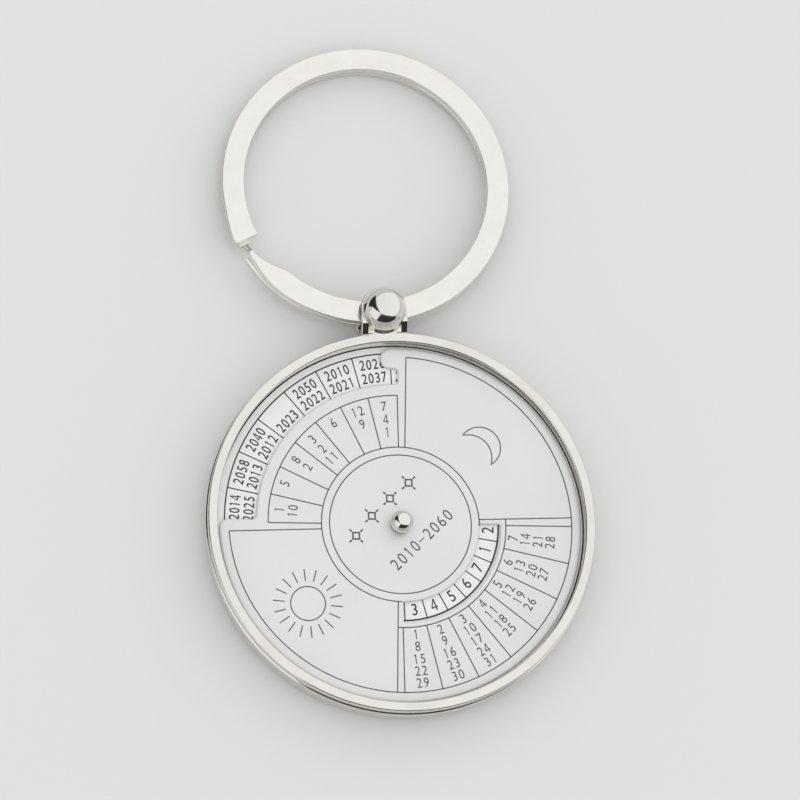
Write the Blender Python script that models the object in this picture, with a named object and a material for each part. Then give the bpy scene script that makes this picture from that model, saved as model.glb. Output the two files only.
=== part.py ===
# Perpetual calendar keyring: a cast disc-shaped case with a bulbous bail, a fixed year
# dial, a turning disc with windows, the ball rivet that the disc turns on, the wave
# washer that holds its setting, and a two-turn split ring through the bail.
#
# Frame: origin at the centre of the case's flat back, +Z out of the dial's face, +Y
# from the centre of the case towards the bail. All lengths are in metres.

from math import acos, asin, atan2, cos, hypot, pi, radians, sin, sqrt

import bmesh
import bpy

MM = 0.001

# Case: a shallow cast dish with a flat back, a raised lip and a fine bead round its wall.
CASE_RADIUS = 20.33 * MM
BEAD_STAND = 0.17 * MM
BEAD_ROUND = 0.3 * MM
BEAD_DROP = 1.19 * MM
LIP_WIDTH = 1.04 * MM
LIP_ROUND = 0.24 * MM
LIP_STAND = 1.3 * MM
BACK_ROUND = 0.8 * MM
FLOOR_THICKNESS = 1.56 * MM
FLOOR_FILLET = 0.2 * MM
SOCKET_FLOOR = 0.4 * MM

# Flat pieces stacked in the dish, from the floor up.
FLAT_GAP = 0.06 * MM
ADHESIVE_THICKNESS = 0.15 * MM
ADHESIVE_MARGIN = 2.32 * MM
ADHESIVE_INSET = 0.4 * MM
DIAL_THICKNESS = 0.4 * MM
DIAL_EDGE_GAP = 0.08 * MM
WASHER_SHEET = 0.1 * MM
WASHER_OUTER_RADIUS = 3.3 * MM
WASHER_BORE_GAP = 0.65 * MM
WASHER_RIM_GAP = 0.2 * MM
WASHER_WAVES = 3
DISC_THICKNESS = 0.4 * MM
DISC_EDGE_GAP = 0.3 * MM
DISC_TURN = -3.7

# Rivet: a polished ball on a short collar, its shank pressed into the case's floor.
SHANK_RADIUS = 0.75 * MM
SHANK_PRESS_GAP = 0.03 * MM
SHANK_RUNNING_GAP = 0.1 * MM
SHANK_TIP_CHAMFER = 0.15 * MM
HEAD_RADIUS = 1.19 * MM
HEAD_RISE = 1.09 * MM
COLLAR_RADIUS = 0.98 * MM
COLLAR_ROUND = 0.06 * MM

# Windows of the turning disc, in the disc's own frame.
YEAR_WINDOW_DEPTH = 3.84 * MM
YEAR_WINDOW_SIDE = 0.12 * MM
YEAR_WINDOW_FOOT = 0.37 * MM
YEAR_WINDOW_FILLET = 0.35 * MM
YEAR_WINDOW_MOUTH_ROUND = 0.9 * MM
DAY_WINDOW_INNER_RADIUS = 8.2 * MM
DAY_WINDOW_OUTER_RADIUS = 10.42 * MM
DAY_WINDOW_SIDE = 0.1 * MM
DAY_WINDOW_RISE = 0.15 * MM
DAY_WINDOW_FILLET = 0.15 * MM
TAB_RADIUS = 1.1 * MM
TAB_OUT = 0.55 * MM
TAB_FILLET = 0.25 * MM

# Split ring: one flat wire wound into two turns, with a necked step between them.
RING_OUTER_RADIUS = 15.0 * MM
RING_BAND_WIDTH = 2.32 * MM
RING_WIRE_THICKNESS = 0.95 * MM
RING_COIL_GAP = 0.08 * MM
RING_EDGE = 0.09 * MM
RING_FLOOR_GAP = 0.02 * MM
RING_YAW = 1.6
RING_END_ANGLE = 200.3
RING_END_SPREAD = 0.3 * MM
RING_SPREAD_SWEEP = 16.0
RING_STEP_START = 353.5
RING_STEP_END = 359.5
RING_TAPER_START = 696.0
RING_LOWER_END = 713.3
RING_TIP_WIDTH = 0.4 * MM
RING_NECK_START = 335.0
RING_NECK_WIDENS = 356.0
RING_NECK_END = 366.0
RING_NECK_SHIFT = 0.45 * MM
RING_NECK_WIDTH_SHARE = 0.26

# Bail: a round-ended lug with a ramp up from the lip, an eye across it for the ring,
# and a ball half sunk in its front.
BAIL_HALF_WIDTH = 2.4 * MM
BAIL_BACK_WALL = 0.75 * MM
BAIL_FRONT_WALL = 0.3 * MM
BAIL_EDGE = 0.06 * MM
BAIL_ROOT = 0.45 * MM
BAIL_ROOT_DROP = 0.4 * MM
BAIL_TOP_REACH = 1.45 * MM
EYE_OUT = 2.17 * MM
EYE_CLEARANCE = 0.12 * MM
EYE_FLARE = 0.14 * MM
BALL_RADIUS = 2.3 * MM
BALL_SINK = 1.2 * MM

# How finely curves are stepped, and how far a cutter runs past what it cuts.
ROUND_STEPS = 120
SMALL_STEPS = 32
FILLET_STEPS = 4
RING_DEGREES_PER_STEP = 5.0
RING_STEP_DIVISIONS = 8
CUT_OVERRUN = 0.5 * MM

# Sizes that follow from the ones above.
WALL_RADIUS = CASE_RADIUS - BEAD_STAND
RECESS_RADIUS = WALL_RADIUS - LIP_WIDTH
ADHESIVE_BOTTOM = FLOOR_THICKNESS + FLAT_GAP
DIAL_BOTTOM = ADHESIVE_BOTTOM + ADHESIVE_THICKNESS + FLAT_GAP
DIAL_TOP = DIAL_BOTTOM + DIAL_THICKNESS
DISC_BOTTOM = DIAL_TOP + FLAT_GAP
DISC_TOP = DISC_BOTTOM + DISC_THICKNESS
CASE_HEIGHT = DISC_TOP + LIP_STAND
DIAL_RADIUS = RECESS_RADIUS - DIAL_EDGE_GAP
ADHESIVE_OUTER_RADIUS = DIAL_RADIUS - ADHESIVE_MARGIN
DISC_RADIUS = RECESS_RADIUS - DISC_EDGE_GAP
YEAR_WINDOW_INNER_RADIUS = DISC_RADIUS - YEAR_WINDOW_DEPTH

# The wave washer stands in the dial's middle hole, between the floor and the disc.
DIAL_HOLE_RADIUS = WASHER_OUTER_RADIUS + WASHER_RIM_GAP
ADHESIVE_INNER_RADIUS = DIAL_HOLE_RADIUS + ADHESIVE_INSET
WASHER_MIDDLE = (FLOOR_THICKNESS + DISC_BOTTOM) / 2
WASHER_WAVE = (DISC_BOTTOM - FLOOR_THICKNESS - WASHER_SHEET) / 2 - FLAT_GAP

RING_INNER_RADIUS = RING_OUTER_RADIUS - RING_BAND_WIDTH
RING_MIDDLE_RADIUS = RING_OUTER_RADIUS - RING_BAND_WIDTH / 2
RING_HALF_HEIGHT = RING_WIRE_THICKNESS + RING_COIL_GAP / 2

# The eye clears the ring's band at every angle, with the band's curve across the lug.
BAND_CORNER_OUT = RING_MIDDLE_RADIUS - sqrt(RING_INNER_RADIUS ** 2 - BAIL_HALF_WIDTH ** 2)
EYE_RADIUS = hypot(BAND_CORNER_OUT, RING_HALF_HEIGHT) + EYE_CLEARANCE
EYE_Y = CASE_RADIUS + EYE_OUT
EYE_Z = BAIL_BACK_WALL + EYE_RADIUS
BAIL_SHOULDER = EYE_Z + EYE_RADIUS + BAIL_FRONT_WALL

# The bail's front ramps from its flat top down into the case's lip.
BAIL_ROOT_Y = WALL_RADIUS - BAIL_ROOT
BAIL_RAMP_Y = EYE_Y - BAIL_TOP_REACH
BAIL_SLOPE = (BAIL_SHOULDER - CASE_HEIGHT + BAIL_ROOT_DROP) / (BAIL_RAMP_Y - BAIL_ROOT_Y)

# The ring lies with its far side on the surface under the case.
RING_REACH = RING_MIDDLE_RADIUS + RING_OUTER_RADIUS
RING_TILT = (asin((EYE_Z - RING_FLOOR_GAP) / hypot(RING_REACH, RING_HALF_HEIGHT))
             - atan2(RING_HALF_HEIGHT, RING_REACH))


def remove_everything():
    for item in list(bpy.data.objects):
        bpy.data.objects.remove(item, do_unlink=True)


def metal(name, colour, roughness, metallic=1.0):
    material = bpy.data.materials.new(name)
    material.use_nodes = True
    shader = material.node_tree.nodes["Principled BSDF"]
    shader.inputs["Base Color"].default_value = (*colour, 1.0)
    shader.inputs["Roughness"].default_value = roughness
    shader.inputs["Metallic"].default_value = metallic
    return material


def add_object(name, bm, material=None, smooth_angle=35.0):
    """Turns a bmesh into a named object, smooth where its faces meet gently."""
    bmesh.ops.recalc_face_normals(bm, faces=bm.faces[:])
    mesh = bpy.data.meshes.new(name)
    bm.to_mesh(mesh)
    bm.free()
    mesh.shade_smooth()
    mesh.set_sharp_from_angle(angle=radians(smooth_angle))
    if material:
        mesh.materials.append(material)
    piece = bpy.data.objects.new(name, mesh)
    bpy.context.scene.collection.objects.link(piece)
    return piece


def arc(centre, radius, start, end, steps):
    """Points along an arc between two angles in radians, both ends included."""
    return [(centre[0] + radius * cos(start + (end - start) * i / steps),
             centre[1] + radius * sin(start + (end - start) * i / steps))
            for i in range(steps + 1)]


def turned(profile, steps):
    """A solid turned about Z from a closed profile of (radius, height) points."""
    bm = bmesh.new()
    rings = []
    for radius, height in profile:
        if radius == 0.0:
            rings.append([bm.verts.new((0.0, 0.0, height))])
            continue
        rings.append([bm.verts.new((radius * cos(2 * pi * i / steps),
                                    radius * sin(2 * pi * i / steps), height))
                      for i in range(steps)])
    for below, above in zip(rings, rings[1:] + rings[:1]):
        bridge(bm, below, above, steps)
    return bm


def bridge(bm, below, above, steps):
    """Faces between two neighbouring rings; a ring of one point is a pole."""
    if len(below) == 1 and len(above) == 1:
        return
    for i in range(steps):
        j = (i + 1) % steps
        if len(below) == 1:
            bm.faces.new((below[0], above[j], above[i]))
        elif len(above) == 1:
            bm.faces.new((below[i], below[j], above[0]))
        else:
            bm.faces.new((below[i], below[j], above[j], above[i]))


def sheet(outlines, bottom, top):
    """A flat sheet with the first outline as its rim and the others as its holes."""
    bm = bmesh.new()
    edges = []
    for outline in outlines:
        loop = [bm.verts.new((x, y, bottom)) for x, y in outline]
        edges += [bm.edges.new((loop[i - 1], loop[i])) for i in range(len(loop))]
    bmesh.ops.triangle_fill(bm, edges=edges, use_beauty=True)
    raised = bmesh.ops.extrude_face_region(bm, geom=bm.faces[:], use_keep_orig=True)
    lifted = [part for part in raised["geom"] if isinstance(part, bmesh.types.BMVert)]
    bmesh.ops.translate(bm, vec=(0.0, 0.0, top - bottom), verts=lifted)
    return bm


def combine(target, tool, operation):
    """Adds a Boolean whose tool stays in the file as a hidden wire object."""
    tool.hide_render = True
    tool.display_type = "WIRE"
    modifier = target.modifiers.new(operation.title() + " " + tool.name, "BOOLEAN")
    modifier.operation = operation
    modifier.solver = "EXACT"
    modifier.object = tool


def case_profile():
    """The dish's section: blind socket, floor, wall, rounded lip, beaded side and back."""
    socket = SHANK_RADIUS + SHANK_PRESS_GAP
    top = CASE_HEIGHT
    profile = [(0.0, SOCKET_FLOOR), (socket, SOCKET_FLOOR), (socket, FLOOR_THICKNESS)]
    profile += arc((RECESS_RADIUS - FLOOR_FILLET, FLOOR_THICKNESS + FLOOR_FILLET),
                   FLOOR_FILLET, -pi / 2, 0.0, FILLET_STEPS)
    profile += arc((RECESS_RADIUS + LIP_ROUND, top - LIP_ROUND),
                   LIP_ROUND, pi, pi / 2, FILLET_STEPS)
    profile += arc((WALL_RADIUS - LIP_ROUND, top - LIP_ROUND),
                   LIP_ROUND, pi / 2, 0.0, FILLET_STEPS)
    spread = acos(1 - BEAD_STAND / BEAD_ROUND)
    profile += arc((CASE_RADIUS - BEAD_ROUND, top - BEAD_DROP),
                   BEAD_ROUND, spread, -spread, FILLET_STEPS)
    profile += arc((WALL_RADIUS - BACK_ROUND, BACK_ROUND),
                   BACK_ROUND, 0.0, -pi / 2, FILLET_STEPS)
    return profile + [(0.0, 0.0)]


def lug_outline(inset):
    """The bail's outline seen from the front, drawn in by an inset all round."""
    half_width = BAIL_HALF_WIDTH - inset
    return ([(-half_width, BAIL_ROOT_Y), (half_width, BAIL_ROOT_Y), (half_width, BAIL_RAMP_Y)]
            + arc((0.0, EYE_Y), half_width, 0.0, pi, SMALL_STEPS // 2)
            + [(-half_width, BAIL_RAMP_Y)])


def make_lug():
    """The bail's block, with its back and front edges broken and a ramp in front."""
    levels = [(0.0, BAIL_EDGE, 0.0), (BAIL_EDGE, 0.0, 0.0),
              (BAIL_SHOULDER - BAIL_EDGE, 0.0, BAIL_SLOPE),
              (BAIL_SHOULDER, BAIL_EDGE, BAIL_SLOPE)]
    bm = bmesh.new()
    loops = [[bm.verts.new((x, y, height - slope * max(BAIL_RAMP_Y - y, 0.0)))
              for x, y in lug_outline(inset)]
             for height, inset, slope in levels]
    for below, above in zip(loops, loops[1:]):
        bridge(bm, below, above, len(below))
    bm.faces.new(loops[0])
    bm.faces.new(loops[-1][2:])
    bm.faces.new(loops[-1][:3] + loops[-1][-1:])
    return add_object("lug_block", bm)


def make_ball():
    """The polished ball in the bail's front, cut off flat inside the block."""
    low = -asin(BALL_SINK / BALL_RADIUS)
    profile = [(0.0, BAIL_SHOULDER - BALL_SINK)]
    profile += arc((0.0, BAIL_SHOULDER), BALL_RADIUS, low, pi / 2, FILLET_STEPS * 3)[:-1]
    profile.append((0.0, BAIL_SHOULDER + BALL_RADIUS))
    ball = add_object("lug_ball", turned(profile, SMALL_STEPS))
    ball.location = (0.0, EYE_Y, 0.0)
    return ball


def make_eye():
    """The cutter for the bail's eye, flared where it leaves the block's sides."""
    reach = BAIL_HALF_WIDTH + CUT_OVERRUN
    flare = arc((BAIL_HALF_WIDTH - EYE_FLARE, EYE_RADIUS + EYE_FLARE),
                EYE_FLARE, -pi / 2, 0.0, FILLET_STEPS)
    half = [(radius, along) for along, radius in flare]
    half.append((EYE_RADIUS + EYE_FLARE, reach))
    mirrored = [(radius, -along) for radius, along in reversed(half)]
    profile = [(0.0, -reach)] + mirrored + half + [(0.0, reach)]
    eye = add_object("lug_eye", turned(profile, SMALL_STEPS))
    eye.location = (0.0, EYE_Y, EYE_Z)
    eye.rotation_euler = (0.0, pi / 2, 0.0)
    return eye


def make_case(material):
    case = add_object("case", turned(case_profile(), ROUND_STEPS), material)
    combine(case, make_lug(), "UNION")
    combine(case, make_ball(), "UNION")
    combine(case, make_eye(), "DIFFERENCE")
    return case


def flat_ring(inner_radius, outer_radius, bottom, top, steps):
    return turned([(inner_radius, top), (inner_radius, bottom),
                   (outer_radius, bottom), (outer_radius, top)], steps)


def make_adhesive(material):
    bm = flat_ring(ADHESIVE_INNER_RADIUS, ADHESIVE_OUTER_RADIUS,
                   ADHESIVE_BOTTOM, ADHESIVE_BOTTOM + ADHESIVE_THICKNESS, ROUND_STEPS // 2)
    return add_object("dial_adhesive", bm, material)


def make_dial(material):
    bm = flat_ring(DIAL_HOLE_RADIUS, DIAL_RADIUS, DIAL_BOTTOM, DIAL_TOP, ROUND_STEPS)
    return add_object("year_dial", bm, material)


def make_washer(material):
    """A thin washer whose sheet rises and falls in a few even waves."""
    bm = bmesh.new()
    inner = SHANK_RADIUS + WASHER_BORE_GAP
    corners = [(inner, WASHER_SHEET / 2), (inner, -WASHER_SHEET / 2),
               (WASHER_OUTER_RADIUS, -WASHER_SHEET / 2), (WASHER_OUTER_RADIUS, WASHER_SHEET / 2)]
    steps = SMALL_STEPS * 2
    rings = []
    for radius, offset in corners:
        ring = []
        for i in range(steps):
            angle = 2 * pi * i / steps
            wave = WASHER_WAVE * cos(WASHER_WAVES * angle)
            ring.append(bm.verts.new((radius * cos(angle), radius * sin(angle),
                                      WASHER_MIDDLE + wave + offset)))
        rings.append(ring)
    for below, above in zip(rings, rings[1:] + rings[:1]):
        bridge(bm, below, above, steps)
    return add_object("wave_washer", bm, material)


def tab_outline():
    """The finger tab, from the disc's edge round to the year window's side."""
    centre = (-TAB_OUT, sqrt((DISC_RADIUS - TAB_RADIUS) ** 2 - TAB_OUT ** 2))
    top = atan2(centre[1], centre[0])
    foot = centre[1] - TAB_RADIUS
    return (arc(centre, TAB_RADIUS, top, 3 * pi / 2, SMALL_STEPS // 2)
            + arc((YEAR_WINDOW_SIDE - TAB_FILLET, foot - TAB_FILLET),
                  TAB_FILLET, pi / 2, 0.0, FILLET_STEPS)), top


def year_window_floor():
    """The year window's side, inner arc and foot, back out to the disc's edge."""
    fillet = YEAR_WINDOW_FILLET
    outside = YEAR_WINDOW_INNER_RADIUS + fillet
    side = YEAR_WINDOW_SIDE - fillet
    first = (side, sqrt(outside ** 2 - side ** 2))
    foot = YEAR_WINDOW_FOOT + fillet
    last = (-sqrt(outside ** 2 - foot ** 2), foot)
    first_angle = atan2(first[1], first[0])
    last_angle = atan2(last[1], last[0])
    points = arc(first, fillet, 0.0, first_angle - pi, FILLET_STEPS)
    points += arc((0.0, 0.0), YEAR_WINDOW_INNER_RADIUS, first_angle, last_angle,
                  ROUND_STEPS // 4)[1:-1]
    points += arc(last, fillet, last_angle - pi, -pi / 2, FILLET_STEPS)
    mouth = YEAR_WINDOW_MOUTH_ROUND
    inside = DISC_RADIUS - mouth
    drop = YEAR_WINDOW_FOOT - mouth
    corner = (-sqrt(inside ** 2 - drop ** 2), drop)
    corner_angle = atan2(corner[1], corner[0]) % (2 * pi)
    points += arc(corner, mouth, pi / 2, corner_angle, FILLET_STEPS * 2)
    return points, corner_angle


def day_window_outline():
    """The weekday window: a quarter ring with rounded corners."""
    fillet = DAY_WINDOW_FILLET
    side = DAY_WINDOW_SIDE + fillet
    rise = DAY_WINDOW_RISE - fillet
    outer = DAY_WINDOW_OUTER_RADIUS - fillet
    inner = DAY_WINDOW_INNER_RADIUS + fillet
    outer_start = 3 * pi / 2 + asin(side / outer)
    inner_start = 3 * pi / 2 + asin(side / inner)
    outer_end = 2 * pi + asin(rise / outer)
    inner_end = 2 * pi + asin(rise / inner)
    steps = ROUND_STEPS // 4
    points = arc((side, -sqrt(outer ** 2 - side ** 2)), fillet, pi, outer_start, FILLET_STEPS)
    points += arc((0.0, 0.0), DAY_WINDOW_OUTER_RADIUS, outer_start, outer_end, steps)[1:-1]
    points += arc((sqrt(outer ** 2 - rise ** 2), rise), fillet,
                  outer_end - 2 * pi, pi / 2, FILLET_STEPS)
    points += arc((sqrt(inner ** 2 - rise ** 2), rise), fillet,
                  pi / 2, inner_end - pi, FILLET_STEPS)
    points += arc((0.0, 0.0), DAY_WINDOW_INNER_RADIUS, inner_end, inner_start, steps)[1:-1]
    points += arc((side, -sqrt(inner ** 2 - side ** 2)), fillet,
                  inner_start - pi, pi, FILLET_STEPS)
    return points


def disc_outline():
    """The disc's rim: round, but for the open year window and its finger tab."""
    tab, tab_angle = tab_outline()
    window, mouth_angle = year_window_floor()
    rim = arc((0.0, 0.0), DISC_RADIUS, mouth_angle, tab_angle + 2 * pi, ROUND_STEPS * 3 // 4)
    return rim[1:-1] + tab + window


def make_disc(material):
    """The turning disc, on the rivet's axis, at the setting that it rests at."""
    hole = arc((0.0, 0.0), SHANK_RADIUS + SHANK_RUNNING_GAP, 0.0, 2 * pi, SMALL_STEPS)[:-1]
    bm = sheet([disc_outline(), day_window_outline(), hole], DISC_BOTTOM, DISC_TOP)
    disc = add_object("window_disc", bm, material)
    disc.rotation_euler = (0.0, 0.0, radians(DISC_TURN))
    return disc


def make_rivet(material):
    """The rivet: chamfered shank, then a collar that carries a ball."""
    seat = DISC_TOP + FLAT_GAP
    tip = SOCKET_FLOOR + FLAT_GAP
    foot = COLLAR_ROUND
    profile = [(0.0, tip), (SHANK_RADIUS - SHANK_TIP_CHAMFER, tip),
               (SHANK_RADIUS, tip + SHANK_TIP_CHAMFER), (SHANK_RADIUS, seat)]
    profile += arc((COLLAR_RADIUS - foot, seat + foot), foot, -pi / 2, 0.0, FILLET_STEPS)
    low = -acos(COLLAR_RADIUS / HEAD_RADIUS)
    profile += arc((0.0, seat + HEAD_RISE), HEAD_RADIUS, low, pi / 2, FILLET_STEPS * 3)[:-1]
    profile.append((0.0, seat + HEAD_RISE + HEAD_RADIUS))
    return add_object("centre_rivet", turned(profile, SMALL_STEPS), material)


def ramp(value, start, end):
    """Rises evenly from 0 to 1 as value goes from start to end."""
    return min(max((value - start) / (end - start), 0.0), 1.0)


def ease(value, start, end):
    """Rises smoothly from 0 to 1 as value goes from start to end."""
    share = ramp(value, start, end)
    return share * share * (3 - 2 * share)


def wire_section(sweep):
    """The wire's section, as (radius, height) points, at an angle along its length."""
    layer = (RING_WIRE_THICKNESS + RING_COIL_GAP) / 2
    middle = layer - 2 * layer * ease(sweep, RING_STEP_START, RING_STEP_END)
    neck = (ease(sweep, RING_NECK_START, RING_STEP_START)
            - ease(sweep, RING_NECK_WIDENS, RING_NECK_END))
    inside = RING_BAND_WIDTH / 2 * (1 - (1 - RING_NECK_WIDTH_SHARE) * neck)
    outside = inside + RING_END_SPREAD * (1 - ease(sweep, 0.0, RING_SPREAD_SWEEP))
    inside -= (RING_BAND_WIDTH - RING_TIP_WIDTH) * ramp(sweep, RING_TAPER_START, RING_LOWER_END)
    half_height = RING_WIRE_THICKNESS / 2
    edge = RING_EDGE
    corners = [(outside - edge, half_height), (outside, half_height - edge),
               (outside, edge - half_height), (outside - edge, -half_height),
               (edge - inside, -half_height), (-inside, edge - half_height),
               (-inside, half_height - edge), (edge - inside, half_height)]
    centre = RING_MIDDLE_RADIUS + RING_NECK_SHIFT * neck
    return [(centre + out, middle + up) for out, up in corners]


def wire_sweeps():
    """Angles along the wire, closer together where it steps between its turns."""
    coarse = RING_DEGREES_PER_STEP
    fine = (RING_NECK_END - RING_NECK_START) / (RING_STEP_DIVISIONS * 2)
    stops = [(0.0, RING_NECK_START, coarse), (RING_NECK_START, RING_STEP_START, fine),
             (RING_STEP_START, RING_STEP_END, fine / 2), (RING_STEP_END, RING_NECK_END, fine),
             (RING_NECK_END, RING_TAPER_START, coarse), (RING_TAPER_START, RING_LOWER_END, coarse)]
    sweeps = []
    for start, end, pitch in stops:
        count = max(1, round((end - start) / pitch))
        sweeps += [start + (end - start) * i / count for i in range(count)]
    return sweeps + [RING_LOWER_END]


def make_ring(material):
    """The split ring, hung on the eye's axis, its far side on the surface below."""
    bm = bmesh.new()
    sections = []
    for sweep in wire_sweeps():
        angle = radians(RING_END_ANGLE - sweep)
        sections.append([bm.verts.new((radius * cos(angle),
                                       RING_MIDDLE_RADIUS + radius * sin(angle), height))
                         for radius, height in wire_section(sweep)])
    for near, far in zip(sections, sections[1:]):
        bridge(bm, near, far, len(near))
    bm.faces.new(sections[0])
    bm.faces.new(sections[-1])
    ring = add_object("split_ring", bm, material)
    ring.location = (0.0, EYE_Y, EYE_Z)
    ring.rotation_euler = (-RING_TILT, 0.0, radians(RING_YAW))
    return ring


def build():
    remove_everything()
    nickel = metal("polished_nickel", (0.80, 0.79, 0.76), 0.12)
    wire_steel = metal("ring_steel", (0.82, 0.81, 0.78), 0.25)
    satin_plate = metal("satin_plate", (0.75, 0.76, 0.75), 0.45)
    white_plate = metal("white_plate", (0.86, 0.86, 0.85), 0.5, metallic=0.2)
    spring_steel = metal("spring_steel", (0.55, 0.55, 0.56), 0.3)
    tape = metal("white_tape", (0.88, 0.87, 0.83), 0.8, metallic=0.0)
    make_case(nickel)
    make_adhesive(tape)
    make_dial(white_plate)
    make_washer(spring_steel)
    make_disc(satin_plate)
    make_rivet(nickel)
    make_ring(wire_steel)


build()
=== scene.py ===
# Looks for the perpetual calendar keyring: polished case, printed disc and dial,
# ball rivet and two-turn split ring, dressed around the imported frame.
#
# Frame: origin at the centre of the case's flat back, +Z out of the dial's face, +Y
# towards the bail. Lengths are in metres, and the angles among the named values are in
# degrees.
from functools import cache
from math import acos, asin, atan2, cos, degrees, pi, radians, sin, sqrt

import bmesh
import bpy
from mathutils import Matrix, Vector


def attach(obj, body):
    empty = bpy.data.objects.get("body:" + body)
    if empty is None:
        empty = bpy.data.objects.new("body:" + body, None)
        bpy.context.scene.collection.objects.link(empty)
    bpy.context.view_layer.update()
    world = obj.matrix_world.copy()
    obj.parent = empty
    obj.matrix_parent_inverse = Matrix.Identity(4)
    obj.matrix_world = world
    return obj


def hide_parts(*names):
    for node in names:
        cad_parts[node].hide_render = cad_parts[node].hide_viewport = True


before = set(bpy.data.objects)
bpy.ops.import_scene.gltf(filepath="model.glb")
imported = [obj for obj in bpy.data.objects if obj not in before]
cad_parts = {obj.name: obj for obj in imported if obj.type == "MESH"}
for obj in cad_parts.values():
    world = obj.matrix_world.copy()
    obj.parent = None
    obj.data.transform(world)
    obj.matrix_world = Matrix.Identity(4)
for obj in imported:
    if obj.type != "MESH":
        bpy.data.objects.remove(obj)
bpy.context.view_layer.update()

MM = 0.001

# Facets round each turned shape
CASE_STEPS = 288
BALL_STEPS = 92
EYE_STEPS = 80
RIVET_STEPS = 96

# Case
CASE_RADIUS = 20.33 * MM
BEAD_STAND = 0.17 * MM
BEAD_ROUND = 0.3 * MM
BEAD_DROP = 1.19 * MM
LIP_WIDTH = 1.04 * MM
LIP_ROUND = 0.24 * MM
CASE_HEIGHT = 3.99 * MM
BACK_ROUND = 0.8 * MM
FLOOR_THICKNESS = 1.56 * MM
FLOOR_FILLET = 0.2 * MM
SOCKET_RADIUS = 0.78 * MM
SOCKET_FLOOR = 0.4 * MM
WALL_RADIUS = CASE_RADIUS - BEAD_STAND
RECESS_RADIUS = WALL_RADIUS - LIP_WIDTH
CASE_SHARP_ANGLE = 28

# Dial and disc
DIAL_TOP = 2.23 * MM
DISC_BOTTOM = 2.29 * MM
DISC_TOP = 2.69 * MM
DISC_RADIUS = 18.82 * MM
DISC_TURN = -3.7
DISC_HOLE_RADIUS = 0.85 * MM
YEAR_WINDOW_INNER_RADIUS = 14.98 * MM
YEAR_WINDOW_SIDE = 0.12 * MM
YEAR_WINDOW_FOOT = 0.37 * MM
YEAR_WINDOW_FILLET = 0.35 * MM
YEAR_WINDOW_MOUTH_ROUND = 0.9 * MM
DAY_WINDOW_INNER_RADIUS = 8.2 * MM
DAY_WINDOW_OUTER_RADIUS = 10.42 * MM
DAY_WINDOW_SIDE = 0.1 * MM
DAY_WINDOW_RISE = 0.15 * MM
DAY_WINDOW_FILLET = 0.15 * MM
TAB_RADIUS = 1.1 * MM
TAB_OUT = 0.55 * MM
TAB_FILLET = 0.25 * MM

# Rivet
SHANK_RADIUS = 0.75 * MM
SHANK_TIP = 0.46 * MM
SHANK_CHAMFER = 0.15 * MM
HEAD_SEAT = 2.75 * MM
HEAD_RADIUS = 1.19 * MM
HEAD_RISE = 1.09 * MM
COLLAR_RADIUS = 0.98 * MM
COLLAR_ROUND = 0.06 * MM

# Bail
BAIL_HALF_WIDTH = 2.4 * MM
BAIL_EDGE = 0.12 * MM
BAIL_ROOT_Y = 19.71 * MM
BAIL_ROOT_DROP = 0.4 * MM
EYE_Y = 22.5 * MM
EYE_Z = 2.5759 * MM
EYE_RADIUS = 1.8259 * MM
EYE_FLARE = 0.14 * MM
EYE_OVERRUN = 0.5 * MM
BAIL_SHOULDER = 4.7017 * MM
BAIL_RAMP_Y = 21.05 * MM
BAIL_SLOPE = (BAIL_SHOULDER - CASE_HEIGHT + BAIL_ROOT_DROP) / (BAIL_RAMP_Y - BAIL_ROOT_Y)
BALL_RADIUS = 2.34 * MM
BALL_HEIGHT = 2.3 * MM
BALL_SINK = 1.2 * MM

# Neck between the ball's foot and the lip, and the room cut for it in the lip
NECK_HALF_WIDTH = 1.76 * MM
NECK_ROOT_Y = 19.5 * MM
NECK_BOTTOM = 3.2 * MM
NECK_DROP = 0.02 * MM
NECK_SIDE_DROP = 0.35 * MM
NECK_HOLLOW = 0.38 * MM
NECK_IN_BALL = 0.4 * MM
NECK_BALL_INSET = 0.02 * MM
NECK_ROOM_MARGIN = 0.08 * MM
NECK_ROOM_LENGTH = 1.2 * MM
NECK_ROOM_DEPTH = 0.9 * MM
NECK_ROOM_Y = 20.5 * MM
NECK_ROOM_Z = 4.4 * MM

# Split ring
RING_MIDDLE_RADIUS = 13.84 * MM
RING_BAND_WIDTH = 2.30 * MM
RING_WIRE_THICKNESS = 0.95 * MM
RING_COIL_GAP = 0.08 * MM
RING_YAW = 1.6
RING_TILT = 3.1227
RING_END_ANGLE = 200.3
RING_END_SPREAD = 0.3 * MM
RING_SPREAD_SWEEP = 16.0
RING_STEP_START = 353.5
RING_STEP_END = 359.5
RING_TAPER_START = 696.0
RING_LOWER_END = 713.3
RING_TIP_WIDTH = 0.4 * MM
RING_NECK_START = 335.0
RING_NECK_WIDENS = 356.0
RING_NECK_END = 366.0
RING_NECK_SHIFT = 0.45 * MM
RING_NECK_WIDTH_SHARE = 0.26
RING_EDGE_ROUND = 0.13 * MM


# ---- Meshes ----------------------------------------------------------------------

def add_object(name, bm, smooth_angle=35.0):
    """A smooth-shaded object from a mesh, with sharp edges above an angle."""
    bmesh.ops.recalc_face_normals(bm, faces=bm.faces[:])
    mesh = bpy.data.meshes.new(name)
    bm.to_mesh(mesh)
    bm.free()
    mesh.shade_smooth()
    mesh.set_sharp_from_angle(angle=radians(smooth_angle))
    piece = bpy.data.objects.new(name, mesh)
    bpy.context.scene.collection.objects.link(piece)
    return piece


def arc(centre, radius, start, end, steps):
    """Points along an arc between two angles in radians."""
    return [(centre[0] + radius * cos(start + (end - start) * i / steps),
             centre[1] + radius * sin(start + (end - start) * i / steps))
            for i in range(steps + 1)]


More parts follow.
